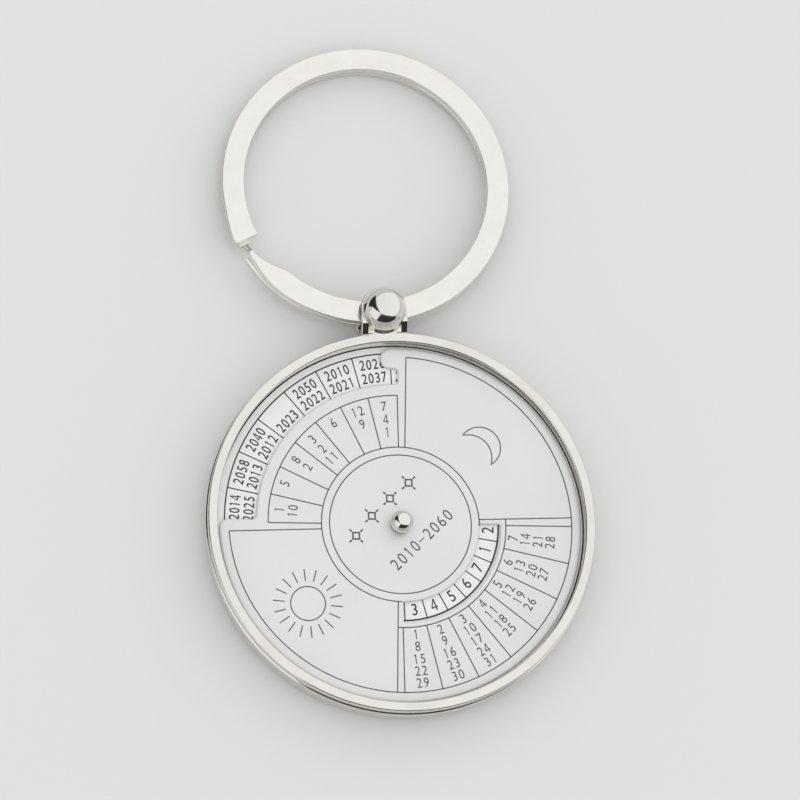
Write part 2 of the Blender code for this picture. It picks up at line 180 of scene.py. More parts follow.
def bridge(bm, below, above):
    """Faces between two neighbouring loops; a loop of one point is a pole."""
    if len(below) == 1 and len(above) == 1:
        return
    steps = max(len(below), len(above))
    for i in range(steps):
        j = (i + 1) % steps
        if len(below) == 1:
            bm.faces.new((below[0], above[j], above[i]))
        elif len(above) == 1:
            bm.faces.new((below[i], below[j], above[0]))
        else:
            bm.faces.new((below[i], below[j], above[j], above[i]))


def turned(profile, steps):
    """A solid turned about Z from a closed profile of (radius, height) points."""
    bm = bmesh.new()
    rings = []
    for radius, height in profile:
        if radius == 0.0:
            rings.append([bm.verts.new((0.0, 0.0, height))])
            continue
        rings.append([bm.verts.new((radius * cos(2 * pi * i / steps),
                                    radius * sin(2 * pi * i / steps), height))
                      for i in range(steps)])
    for below, above in zip(rings, rings[1:] + rings[:1]):
        bridge(bm, below, above)
    return bm


def cut(target, tool, operation):
    """Applies one Boolean and removes its tool."""
    bpy.context.view_layer.update()
    modifier = target.modifiers.new("cut", "BOOLEAN")
    modifier.operation = operation
    modifier.solver = "EXACT"
    modifier.object = tool
    evaluated = target.evaluated_get(bpy.context.evaluated_depsgraph_get())
    mesh = bpy.data.meshes.new_from_object(evaluated)
    target.modifiers.clear()
    target.data = mesh
    bpy.data.objects.remove(tool, do_unlink=True)


def weigh_normals(piece):
    """Keeps the shading of large faces flat beside their rounded edges."""
    normals = piece.modifiers.new("normals", "WEIGHTED_NORMAL")
    normals.keep_sharp = True
    normals.weight = 80


def case_profile(steps):
    """The dish's section: socket, floor, lip, wall with its bead, and rounded back."""
    top = CASE_HEIGHT
    profile = [(0.0, SOCKET_FLOOR), (SOCKET_RADIUS, SOCKET_FLOOR),
               (SOCKET_RADIUS, FLOOR_THICKNESS)]
    profile += arc((RECESS_RADIUS - FLOOR_FILLET, FLOOR_THICKNESS + FLOOR_FILLET),
                   FLOOR_FILLET, -pi / 2, 0.0, steps)
    profile += arc((RECESS_RADIUS + LIP_ROUND, top - LIP_ROUND),
                   LIP_ROUND, pi, pi / 2, steps)
    profile += arc((WALL_RADIUS - LIP_ROUND, top - LIP_ROUND),
                   LIP_ROUND, pi / 2, 0.0, steps)
    spread = acos(1 - BEAD_STAND / BEAD_ROUND)
    profile += arc((CASE_RADIUS - BEAD_ROUND, top - BEAD_DROP),
                   BEAD_ROUND, spread, -spread, steps)
    profile += arc((WALL_RADIUS - BACK_ROUND, BACK_ROUND),
                   BACK_ROUND, 0.0, -pi / 2, steps)
    return profile + [(0.0, 0.0)]


def lug_outline(inset, steps):
    """The bail's outline from above, drawn in by an inset."""
    half_width = BAIL_HALF_WIDTH - inset
    return ([(-half_width, BAIL_ROOT_Y), (half_width, BAIL_ROOT_Y), (half_width, BAIL_RAMP_Y)]
            + arc((0.0, EYE_Y), half_width, 0.0, pi, steps) + [(-half_width, BAIL_RAMP_Y)])


def make_neck():
    """A bridge from the ball's foot to the lip, hollowed towards the ball."""
    bm = bmesh.new()
    rows = []
    top = CASE_HEIGHT - NECK_DROP
    steps = 24
    for i in range(steps + 1):
        share = 2 * i / steps - 1
        x = share * NECK_HALF_WIDTH
        foot = EYE_Y - sqrt((BALL_RADIUS - NECK_BALL_INSET) ** 2 - x ** 2)
        drop = NECK_SIDE_DROP * abs(share) ** 6
        section = [(NECK_ROOT_Y, top - drop)]
        section += [(foot + y, top + NECK_HOLLOW + z - drop) for y, z in
                    arc((-NECK_HOLLOW, 0.0), NECK_HOLLOW, -pi / 2, 0.0, 8)]
        section += [(foot + NECK_IN_BALL, top + NECK_HOLLOW - drop),
                    (foot + NECK_IN_BALL, NECK_BOTTOM), (NECK_ROOT_Y, NECK_BOTTOM)]
        rows.append([bm.verts.new((x, y, z)) for y, z in section])
    for near, far in zip(rows, rows[1:]):
        bridge(bm, near, far)
    bm.faces.new(rows[0])
    bm.faces.new(rows[-1])
    return add_object("neck", bm)


def make_neck_room():
    """The tool that clears the ramp and the lip where the neck goes."""
    bm = bmesh.new()
    size = (2 * NECK_HALF_WIDTH - NECK_ROOM_MARGIN, NECK_ROOM_LENGTH, NECK_ROOM_DEPTH, 1.0)
    place = Matrix.Translation((0.0, NECK_ROOM_Y, NECK_ROOM_Z))
    bmesh.ops.create_cube(bm, size=1.0, matrix=place @ Matrix.Diagonal(size))
    return add_object("neck_room", bm)


def make_lug():
    """The bail's block, whose top slopes down to the lip."""
    steps = 6
    edge = [(BAIL_EDGE * (1 - cos(pi / 2 * i / steps)),
             BAIL_EDGE * (1 - sin(pi / 2 * i / steps))) for i in range(steps + 1)]
    levels = [(height, inset, 0.0) for height, inset in edge]
    levels += [(BAIL_SHOULDER - height, inset, BAIL_SLOPE) for height, inset in reversed(edge)]
    bm = bmesh.new()
    loops = [[bm.verts.new((x, y, height - slope * max(BAIL_RAMP_Y - y, 0.0)))
              for x, y in lug_outline(inset, 40)]
             for height, inset, slope in levels]
    for below, above in zip(loops, loops[1:]):
        bridge(bm, below, above)
    bm.faces.new(loops[0])
    bm.faces.new(loops[-1][2:])
    bm.faces.new(loops[-1][:3] + loops[-1][-1:])
    return add_object("lug", bm)


def make_ball():
    """The ball on the bail, which goes on into the block below its widest circle."""
    low = -asin(BALL_SINK / BALL_RADIUS)
    steps = 33
    angles = [low + (pi / 2 - low) * i / steps for i in range(steps)]
    profile = [(0.0, BAIL_SHOULDER + BALL_HEIGHT * sin(low))]
    profile += [(BALL_RADIUS * cos(angle), BAIL_SHOULDER + BALL_HEIGHT * sin(angle))
                for angle in angles]
    profile.append((0.0, BAIL_SHOULDER + BALL_HEIGHT))
    ball = add_object("ball", turned(profile, BALL_STEPS))
    ball.location = (0.0, EYE_Y, 0.0)
    return ball


def make_eye():
    """The tool that cuts the bail's eye, with its flared mouths."""
    reach = BAIL_HALF_WIDTH + EYE_OVERRUN
    flare = arc((BAIL_HALF_WIDTH - EYE_FLARE, EYE_RADIUS + EYE_FLARE),
                EYE_FLARE, -pi / 2, 0.0, 8)
    half = [(radius, along) for along, radius in flare] + [(EYE_RADIUS + EYE_FLARE, reach)]
    profile = ([(0.0, -reach)] + [(radius, -along) for radius, along in reversed(half)]
               + half + [(0.0, reach)])
    eye = add_object("eye", turned(profile, EYE_STEPS))
    eye.location = (0.0, EYE_Y, EYE_Z)
    eye.rotation_euler = (0.0, pi / 2, 0.0)
    return eye


def make_case():
    """The casting: dish, bail, neck and ball, with the eye cut through the bail."""
    case = add_object("case_shell", turned(case_profile(10), CASE_STEPS))
    cut(case, make_lug(), "UNION")
    cut(case, make_neck_room(), "DIFFERENCE")
    cut(case, make_neck(), "UNION")
    cut(case, make_ball(), "UNION")
    cut(case, make_eye(), "DIFFERENCE")
    case.data.shade_smooth()
    case.data.set_sharp_from_angle(angle=radians(CASE_SHARP_ANGLE))
    weigh_normals(case)
    return case


def make_rivet():
    """The ball rivet: shank, collar and head in one turned piece."""
    foot = COLLAR_ROUND
    profile = [(0.0, SHANK_TIP), (SHANK_RADIUS - SHANK_CHAMFER, SHANK_TIP),
               (SHANK_RADIUS, SHANK_TIP + SHANK_CHAMFER), (SHANK_RADIUS, HEAD_SEAT)]
    profile += arc((COLLAR_RADIUS - foot, HEAD_SEAT + foot), foot, -pi / 2, 0.0, 6)
    low = -acos(COLLAR_RADIUS / HEAD_RADIUS)
    profile += arc((0.0, HEAD_SEAT + HEAD_RISE), HEAD_RADIUS, low, pi / 2, 32)[:-1]
    profile.append((0.0, HEAD_SEAT + HEAD_RISE + HEAD_RADIUS))
    return add_object("rivet_ball", turned(profile, RIVET_STEPS))


# ---- Disc ------------------------------------------------------------------------

def rim_outline(inset):
    """The disc's rim, year window and finger tab, drawn in by an inset all round."""
    rim = DISC_RADIUS - inset
    tab_radius = TAB_RADIUS - inset
    centre = (-TAB_OUT, sqrt((DISC_RADIUS - TAB_RADIUS) ** 2 - TAB_OUT ** 2))
    top = atan2(centre[1], centre[0])
    foot = centre[1] - TAB_RADIUS
    tab_fillet = TAB_FILLET + inset
    tab = (arc(centre, tab_radius, top, 3 * pi / 2, 24)
           + arc((YEAR_WINDOW_SIDE - TAB_FILLET, foot - TAB_FILLET),
                 tab_fillet, pi / 2, 0.0, 8))
    fillet = YEAR_WINDOW_FILLET
    outside = YEAR_WINDOW_INNER_RADIUS + fillet
    side = YEAR_WINDOW_SIDE - fillet
    first = (side, sqrt(outside ** 2 - side ** 2))
    base = YEAR_WINDOW_FOOT + fillet
    last = (-sqrt(outside ** 2 - base ** 2), base)
    first_angle = atan2(first[1], first[0])
    last_angle = atan2(last[1], last[0])
    window = arc(first, fillet + inset, 0.0, first_angle - pi, 8)
    window += arc((0.0, 0.0), YEAR_WINDOW_INNER_RADIUS - inset,
                  first_angle, last_angle, 60)[1:-1]
    window += arc(last, fillet + inset, last_angle - pi, -pi / 2, 8)
    mouth = YEAR_WINDOW_MOUTH_ROUND
    inside = DISC_RADIUS - mouth
    drop = YEAR_WINDOW_FOOT - mouth
    corner = (-sqrt(inside ** 2 - drop ** 2), drop)
    corner_angle = atan2(corner[1], corner[0]) % (2 * pi)
    window += arc(corner, mouth - inset, pi / 2, corner_angle, 16)
    return arc((0.0, 0.0), rim, corner_angle, top + 2 * pi, 220)[1:-1] + tab + window


def day_outline(inset):
    """The weekday window's edge, drawn back into the plate by an inset."""
    fillet = DAY_WINDOW_FILLET
    side = DAY_WINDOW_SIDE + fillet
    rise = DAY_WINDOW_RISE - fillet
    outer = DAY_WINDOW_OUTER_RADIUS - fillet
    inner = DAY_WINDOW_INNER_RADIUS + fillet
    outer_start = 3 * pi / 2 + asin(side / outer)
    inner_start = 3 * pi / 2 + asin(side / inner)
    outer_end = 2 * pi + asin(rise / outer)
    inner_end = 2 * pi + asin(rise / inner)
    r = fillet + inset
    points = arc((side, -sqrt(outer ** 2 - side ** 2)), r, pi, outer_start, 8)
    points += arc((0.0, 0.0), DAY_WINDOW_OUTER_RADIUS + inset, outer_start, outer_end, 40)[1:-1]
    points += arc((sqrt(outer ** 2 - rise ** 2), rise), r, outer_end - 2 * pi, pi / 2, 8)
    points += arc((sqrt(inner ** 2 - rise ** 2), rise), r, pi / 2, inner_end - pi, 8)
    points += arc((0.0, 0.0), DAY_WINDOW_INNER_RADIUS - inset, inner_end, inner_start, 40)[1:-1]
    points += arc((side, -sqrt(inner ** 2 - side ** 2)), r, inner_start - pi, pi, 8)
    return points


def hole_outline(inset):
    """The hole for the rivet's shank."""
    return arc((0.0, 0.0), DISC_HOLE_RADIUS + inset, 0.0, 2 * pi, 64)[:-1]


# How the punched sheet rolls down towards its cut edges: (inset, drop below the face).
ROLLED_EDGE = [(0.42 * MM, 0.0), (0.30 * MM, 0.006 * MM), (0.20 * MM, 0.018 * MM),
               (0.12 * MM, 0.038 * MM), (0.06 * MM, 0.066 * MM), (0.02 * MM, 0.105 * MM),
               (0.0, 0.15 * MM)]


def make_disc():
    """The printed disc, punched from sheet, so its face rolls down at each cut edge."""
    bm = bmesh.new()
    edges = {"top": [], "bottom": []}
    levels = [(inset, DISC_TOP - drop) for inset, drop in ROLLED_EDGE] + [(0.0, DISC_BOTTOM)]
    for outline in (rim_outline, day_outline, hole_outline):
        loops = [[bm.verts.new((x, y, height)) for x, y in outline(inset)]
                 for inset, height in levels]
        for below, above in zip(loops, loops[1:]):
            bridge(bm, below, above)
        for key, loop in (("top", loops[0]), ("bottom", loops[-1])):
            edges[key] += [bm.edges.get((loop[i - 1], loop[i])) for i in range(len(loop))]
    for key in edges:
        bmesh.ops.triangle_fill(bm, edges=edges[key], use_beauty=True)
    disc = add_object("calendar_disc", bm, 40.0)
    disc.data.transform(Matrix.Rotation(radians(DISC_TURN), 4, "Z"))
    weigh_normals(disc)
    return disc


# ---- Split ring ------------------------------------------------------------------

def ramp(value, start, end):
    """How far a value is between start and end, from 0 to 1."""
    return min(max((value - start) / (end - start), 0.0), 1.0)


def ease(value, start, end):
    """A ramp with soft ends."""
    share = ramp(value, start, end)
    return share * share * (3 - 2 * share)


def wire_section(sweep):
    """The wire's section, as (radius, height) points, with rounded corners."""
    layer = (RING_WIRE_THICKNESS + RING_COIL_GAP) / 2
    middle = layer - 2 * layer * ease(sweep, RING_STEP_START, RING_STEP_END)
    neck = (ease(sweep, RING_NECK_START, RING_STEP_START)
            - ease(sweep, RING_NECK_WIDENS, RING_NECK_END))
    inside = RING_BAND_WIDTH / 2 * (1 - (1 - RING_NECK_WIDTH_SHARE) * neck)
    outside = inside + RING_END_SPREAD * (1 - ease(sweep, 0.0, RING_SPREAD_SWEEP))
    inside -= (RING_BAND_WIDTH - RING_TIP_WIDTH) * ramp(sweep, RING_TAPER_START, RING_LOWER_END)
    up = RING_WIRE_THICKNESS / 2
    r = RING_EDGE_ROUND
    corners = (arc((outside - r, up - r), r, pi / 2, 0.0, 4)
               + arc((outside - r, r - up), r, 0.0, -pi / 2, 4)
               + arc((r - inside, r - up), r, -pi / 2, -pi, 4)
               + arc((r - inside, up - r), r, pi, pi / 2, 4))
    centre = RING_MIDDLE_RADIUS + RING_NECK_SHIFT * neck
    return [(centre + out, middle + rise) for out, rise in corners]


# Stretches of the wire's sweep, and the pitch of its sections in each.
RING_STRETCHES = ((0.0, RING_SPREAD_SWEEP, 1.0),
                  (RING_SPREAD_SWEEP, RING_NECK_START, 1.8),
                  (RING_NECK_START, RING_STEP_START, 0.6),
                  (RING_STEP_START, RING_STEP_END, 0.25),
                  (RING_STEP_END, RING_NECK_END, 0.5),
                  (RING_NECK_END, RING_TAPER_START, 1.8),
                  (RING_TAPER_START, RING_LOWER_END, 1.0))


def make_ring():
    """The split ring: flat wire swept round two turns from its upper to its lower end."""
    sweeps = []
    for start, end, pitch in RING_STRETCHES:
        count = max(1, round((end - start) / pitch))
        sweeps += [start + (end - start) * i / count for i in range(count)]
    sweeps.append(RING_LOWER_END)
    bm = bmesh.new()
    sections = []
    for sweep in sweeps:
        angle = radians(RING_END_ANGLE - sweep)
        sections.append([bm.verts.new((radius * cos(angle),
                                       RING_MIDDLE_RADIUS + radius * sin(angle), height))
                         for radius, height in wire_section(sweep)])
    for near, far in zip(sections, sections[1:]):
        bridge(bm, near, far)
    bm.faces.new(sections[0])
    bm.faces.new(sections[-1])
    ring = add_object("split_ring_wire", bm, 40.0)
    ring.data.transform(Matrix.Translation((0.0, EYE_Y, EYE_Z))
                        @ Matrix.Rotation(radians(RING_YAW), 4, "Z")
                        @ Matrix.Rotation(radians(-RING_TILT), 4, "X"))
    weigh_normals(ring)
    return ring


# ---- Print -----------------------------------------------------------------------

INK_WIDTH = 0.125 * MM
INK_HEIGHT = 0.008 * MM
INK_SINK = 0.01 * MM
COLUMNS = 28
COLUMN = 360.0 / COLUMNS

# Figures: height, pitch from one to the next, share of their width, and added weight
YEAR_FIGURES = (1.12 * MM, 0.69 * MM, 0.76, 0.012)
DAY_FIGURES = (1.26 * MM, 0.9 * MM, 0.85, 0.006)
MONTH_FIGURES = (1.04 * MM, 0.74 * MM, 0.83, 0.004)
DATE_FIGURES = (1.04 * MM, 0.73 * MM, 0.83, 0.004)
SPAN_FIGURES = (1.28 * MM, 0.963 * MM, 0.85, 0.0)

# Dial print: years and weekdays in columns of measured pitch, slightly off the middle
DIAL_TURN = -2.7
DIAL_SHIFT = (0.03 * MM, 0.1 * MM)
YEAR_START = 180
YEAR_PITCH = -12.72
YEAR_LINE_OUTER = 18.24 * MM
YEAR_LINE_INNER = 14.75 * MM
# The outer year arc is drawn wider than its print: the extra width is painted shadow along the
# year window's outer edge.
YEAR_ARC_AND_EDGE_SHADOW_WIDTH = INK_WIDTH * 1.2
YEAR_ROWS = (17.23 * MM, 15.77 * MM)
YEAR_COLUMNS = [("2014", "2025"), ("2058", "2013"), ("2040", "2012"), ("", "2023"),
                ("2050", "2022"), ("2010", "2021"), ("2026", "2037"), ("2054", "2015")]
DAY_START = -89.52
DAY_PITCH = 13.15
DAY_LINE_OUTER = 10.22 * MM
DAY_LINE_INNER = 7.9 * MM
# The outer weekday arc is drawn wider than its print: the extra width is painted shadow of the
# disc's edge over the day window.
DAY_ARC_AND_EDGE_SHADOW_WIDTH = INK_WIDTH * 1.5
DAY_ROW = 9.12 * MM
DAY_COLUMNS = "3456712"

# Disc print: lines round the middle, and the straight sides of the two plain quarters,
# each by the x or y of its outer end on the rim's line and by its inner end
HUB_LINE = 7.377 * MM
TABLE_LINE = 8.222 * MM
RIM_LINE = 17.85 * MM
MOON_LEFT_X = 1.02 * MM
MOON_LEFT_END = (0.658 * MM, 8.196 * MM)
MOON_FOOT_Y = 0.914 * MM
MOON_FOOT_END = (8.2 * MM, 0.609 * MM)
SUN_TOP_Y = -0.943 * MM
SUN_TOP_END = (-8.2 * MM, -0.599 * MM)
SUN_RIGHT_X = -0.756 * MM
SUN_RIGHT_END = (-0.442 * MM, -8.21 * MM)

# Disc print: tables of months and dates
MONTH_START = 180
MONTH_LINE = 13.75 * MM
MONTH_ROWS = (12.64 * MM, 11.24 * MM, 9.86 * MM)
MONTH_COLUMNS = [("1", "10"), ("5",), ("8", "2"), ("3", "2", "11"), ("6",), ("12", "9"),
                 ("7", "4", "1")]
DATE_START = -90
DATE_COLUMNS = 7
DATE_LINE = 10.97 * MM
DATE_LINE_START = 267.5
DATE_LINE_END = 363.6
DATE_ROWS = (11.75 * MM, 13.02 * MM, 14.35 * MM, 15.62 * MM, 16.89 * MM)

# Disc print: pictures, marks and the span of years
SUN_CENTRE = (-9.815 * MM, -8.54 * MM)
SUN_RADIUS = 1.805 * MM
SUN_RAYS = 18
SUN_RAY_TURN = -4.8
SUN_RAY_INNER = 2.39 * MM
SUN_RAY_OUTER = 3.65 * MM
CRESCENT_TIPS = ((6.71 * MM, 9.556 * MM), (9.578 * MM, 6.461 * MM))
CRESCENT_OUTSIDE = (10.089 * MM, 9.762 * MM)
CRESCENT_INSIDE = (9.136 * MM, 8.819 * MM)
MARK_CENTRES = ((-4.64 * MM, -1.29 * MM), (-2.96 * MM, 0.855 * MM), (-1.03 * MM, 2.73 * MM),
                (0.955 * MM, 4.43 * MM))
MARK_SIZE = 0.48 * MM
MARK_STROKE_INNER = 0.64 * MM
MARK_STROKE_OUTER = 0.97 * MM
MARK_SQUARE_WIDTH = INK_WIDTH * 2.0
MARK_STROKE_WIDTH = INK_WIDTH * 1.45
SPAN_START = (-0.69 * MM, -4.4 * MM)
SPAN_END = (5.02 * MM, 1.16 * MM)
SPAN_DASH = 0.37 * MM
SPAN_DASH_WIDTH = 0.1 * MM


class Print:
    """Thin closed solids of ink on a flat face, all in one mesh."""

    def __init__(self, face):
        self.bm = bmesh.new()
        self.low = face - INK_SINK
        self.high = face + INK_HEIGHT

    def strip(self, left, right, closed=False):
        """A ribbon between two lists of points, closed on itself or ended by two faces."""
        rows = [[self.bm.verts.new((*point, height)) for height in (self.low, self.high)
                 for point in pair] for pair in zip(left, right)]
        order = (0, 1, 3, 2)
        pairs = list(zip(rows, rows[1:])) + ([(rows[-1], rows[0])] if closed else [])
        for near, far in pairs:
            for a, b in zip(order, order[1:] + order[:1]):
                self.bm.faces.new((near[a], near[b], far[b], far[a]))
        if not closed:
            for row in (rows[0], rows[-1]):
                self.bm.faces.new([row[k] for k in order])

    def arc(self, centre, radius, start, end, width=INK_WIDTH):
        """A line along an arc; 360 degrees give a closed ring."""
        steps = max(6, int(abs(end - start) / 3))
        closed = abs(end - start) >= 360
        points = [arc(centre, radius + offset, radians(start), radians(end), steps)
                  for offset in (-width / 2, width / 2)]
        if closed:
            points = [side[:-1] for side in points]
        self.strip(points[0], points[1], closed)

    def line(self, start, end, width=INK_WIDTH):
        """A straight line between two points."""
        run = Vector(end) - Vector(start)
        across = Vector((-run.y, run.x)).normalized() * (width / 2)
        self.strip([Vector(start) + across, Vector(end) + across],
                   [Vector(start) - across, Vector(end) - across])

    def spoke(self, angle, inner, outer, centre=(0.0, 0.0), width=INK_WIDTH):
        """A line pointing away from a centre, between two radii."""
        toward = Vector((cos(radians(angle)), sin(radians(angle))))
        self.line(Vector(centre) + toward * inner, Vector(centre) + toward * outer, width)

    def path(self, points, width=INK_WIDTH):
        """A closed line through points."""
        centre = [Vector(p) for p in points]
        sides = [[], []]
        for i, p in enumerate(centre):
            run = centre[(i + 1) % len(centre)] - centre[i - 1]
            across = Vector((-run.y, run.x)).normalized() * (width / 2)
            sides[0].append(p + across)
            sides[1].append(p - across)
        self.strip(sides[0], sides[1], True)

    def figures(self, text, centre, turn, style):
        """A row of figures about a centre, turned by degrees from upright."""
        height, pitch, thin, weight = style
        spin = Matrix.Rotation(radians(turn), 2)
        for i, sign in enumerate(text):
            if sign == " ":
                continue
            outline, triangles = glyph(sign, weight)
            shift = (i - (len(text) - 1) / 2) * pitch
            spots = [spin @ Vector((x * height * thin + shift, y * height)) for x, y in outline]
            low, high = [[self.bm.verts.new((spot.x + centre[0], spot.y + centre[1], level))
                          for spot in spots] for level in (self.low, self.high)]
            sides = {}
            for a, b, c in triangles:
                self.bm.faces.new((high[a], high[b], high[c]))
                self.bm.faces.new((low[c], low[b], low[a]))
                for edge in ((a, b), (b, c), (c, a)):
                    sides[edge] = True
            for a, b in sides:
                if (b, a) not in sides:
                    self.bm.faces.new((low[a], low[b], high[b], high[a]))

    def finish(self, name, turn, shift=(0.0, 0.0)):
        """Makes the object, turned by degrees and then shifted."""
        piece = add_object(name, self.bm, 30.0)
        piece.data.transform(Matrix.Translation((*shift, 0.0))
                             @ Matrix.Rotation(radians(turn), 4, "Z"))
        return piece


# The 1 and the 4 are drawn here, because the font's 1 is a bare bar and its 4 pinches.
# Added weight moves the sides of the 1 and of the 4's stem by its growth.
GROWTH = 1.4
STEM_LEFT, STEM_RIGHT = 0.07, 0.19
ONE = ((0.06, -0.5), (0.06, 0.5), (-0.02, 0.5), (-0.18, 0.38), (-0.18, 0.26),
       (-0.055, 0.34), (-0.055, -0.5))
ONE_FACES = ((0, 1, 2), (0, 2, 5), (0, 5, 6), (2, 3, 4), (2, 4, 5))
FOUR = ((STEM_LEFT, -0.5), (STEM_RIGHT, -0.5), (STEM_RIGHT, -0.27), (0.33, -0.27),
        (0.33, -0.16), (STEM_RIGHT, -0.16), (STEM_RIGHT, 0.5), (STEM_LEFT, 0.5),
        (-0.33, -0.16), (-0.33, -0.27), (STEM_LEFT, -0.27), (STEM_LEFT, 0.31),
        (STEM_LEFT, -0.16), (-0.2, -0.16))
FOUR_FACES = ((0, 1, 2), (0, 2, 10), (10, 2, 5), (10, 5, 12), (2, 3, 4), (2, 4, 5),
              (9, 10, 12), (9, 12, 13), (9, 13, 8), (12, 5, 6), (12, 6, 11), (11, 6, 7),
              (8, 13, 11), (8, 11, 7))


def font_shape(sign, weight):
    """A font figure's points and triangles, as Blender's own font draws it."""
    curve = bpy.data.curves.new("figure", "FONT")
    curve.body = sign
    curve.offset = weight
    curve.resolution_u = 3
    holder = bpy.data.objects.new("figure", curve)
    bpy.context.scene.collection.objects.link(holder)
    bpy.context.view_layer.update()
    mesh = bpy.data.meshes.new_from_object(
        holder.evaluated_get(bpy.context.evaluated_depsgraph_get()))
    bm = bmesh.new()
    bm.from_mesh(mesh)
    bmesh.ops.remove_doubles(bm, verts=bm.verts[:], dist=1e-5)
    bmesh.ops.triangulate(bm, faces=bm.faces[:])
    bm.verts.index_update()
    points = [(v.co.x, v.co.y) for v in bm.verts]
    triangles = [[v.index for v in (f.verts if f.normal.z > 0 else reversed(f.verts))]
                 for f in bm.faces]
    bm.free()
    bpy.data.objects.remove(holder, do_unlink=True)
    bpy.data.meshes.remove(mesh)
    bpy.data.curves.remove(curve)
    return points, triangles


@cache
def glyph(sign, weight):
    """One figure's outline points and triangles, centred, with figures one unit high."""
    more = GROWTH * weight
    if sign == "1":
        return [(x + more * (1 if x > 0 else -1), y) for x, y in ONE], ONE_FACES
    if sign == "4":
        moves = {STEM_LEFT: -more, STEM_RIGHT: more}
        return [(x + moves.get(x, 0.0), y) for x, y in FOUR], FOUR_FACES
    zero = font_shape("0", weight)[0]
    low = min(y for x, y in zero)
    high = max(y for x, y in zero)
    points, triangles = font_shape(sign, weight)
    left = min(x for x, y in points)
    right = max(x for x, y in points)
    return [((x - (left + right) / 2) / (high - low), (y - (low + high) / 2) / (high - low))
            for x, y in points], triangles


def around(angle, radius):
    """The point at an angle and a radius."""
    return (radius * cos(radians(angle)), radius * sin(radians(angle)))


def on_circle(x=None, y=None, radius=1.0, sign=1):
    """The point of a circle at a given x or y."""
    if x is not None:
        return (x, sign * sqrt(radius ** 2 - x ** 2))
    return (sign * sqrt(radius ** 2 - y ** 2), y)


def column_sides(start, pitch, shown):
    """Angles of all columns' sides: those shown keep their pitch, the hidden share the rest."""
    hidden = COLUMNS - shown
    whole = 360 if pitch > 0 else -360
    hidden_pitch = (whole - pitch * shown) / hidden
    return ([start + pitch * i for i in range(shown)]
            + [start + pitch * shown + hidden_pitch * i for i in range(hidden + 1)])


def make_dial_print():
    """Years under the open window and weekday figures under the small one."""
    ink = Print(DIAL_TOP)
    # The columns that the disc hides hold made-up years.
    hidden = [("20%02d" % (11 + (i * 17) % 50), "20%02d" % (12 + (i * 23) % 49))
              for i in range(COLUMNS - len(YEAR_COLUMNS))]
    sides = column_sides(YEAR_START, YEAR_PITCH, len(YEAR_COLUMNS))
    for side in sides[:-1]:
        ink.spoke(side, YEAR_LINE_INNER, YEAR_LINE_OUTER)
    # Outer year arc: printed line widened by painted shadow along the window's outer edge.
    ink.arc((0.0, 0.0), YEAR_LINE_OUTER, 0.0, 360.0, YEAR_ARC_AND_EDGE_SHADOW_WIDTH)
    for i, column in enumerate(YEAR_COLUMNS + hidden):
        angle = (sides[i] + sides[i + 1]) / 2
        for text, radius in zip(column, YEAR_ROWS):
            ink.figures(text, around(angle, radius), angle - 90, YEAR_FIGURES)
    sides = column_sides(DAY_START, DAY_PITCH, len(DAY_COLUMNS))
    for i in range(COLUMNS):
        ink.spoke(sides[i], DAY_LINE_INNER, DAY_LINE_OUTER)
        angle = (sides[i] + sides[i + 1]) / 2
        day = DAY_COLUMNS[i % len(DAY_COLUMNS)]
        ink.figures(day, around(angle, DAY_ROW), angle + 90, DAY_FIGURES)
    # Outer weekday arc: printed line widened by painted shadow of the disc's edge.
    ink.arc((0.0, 0.0), DAY_LINE_OUTER, 0.0, 360.0, DAY_ARC_AND_EDGE_SHADOW_WIDTH)
    return ink.finish("dial_print", DIAL_TURN, DIAL_SHIFT)


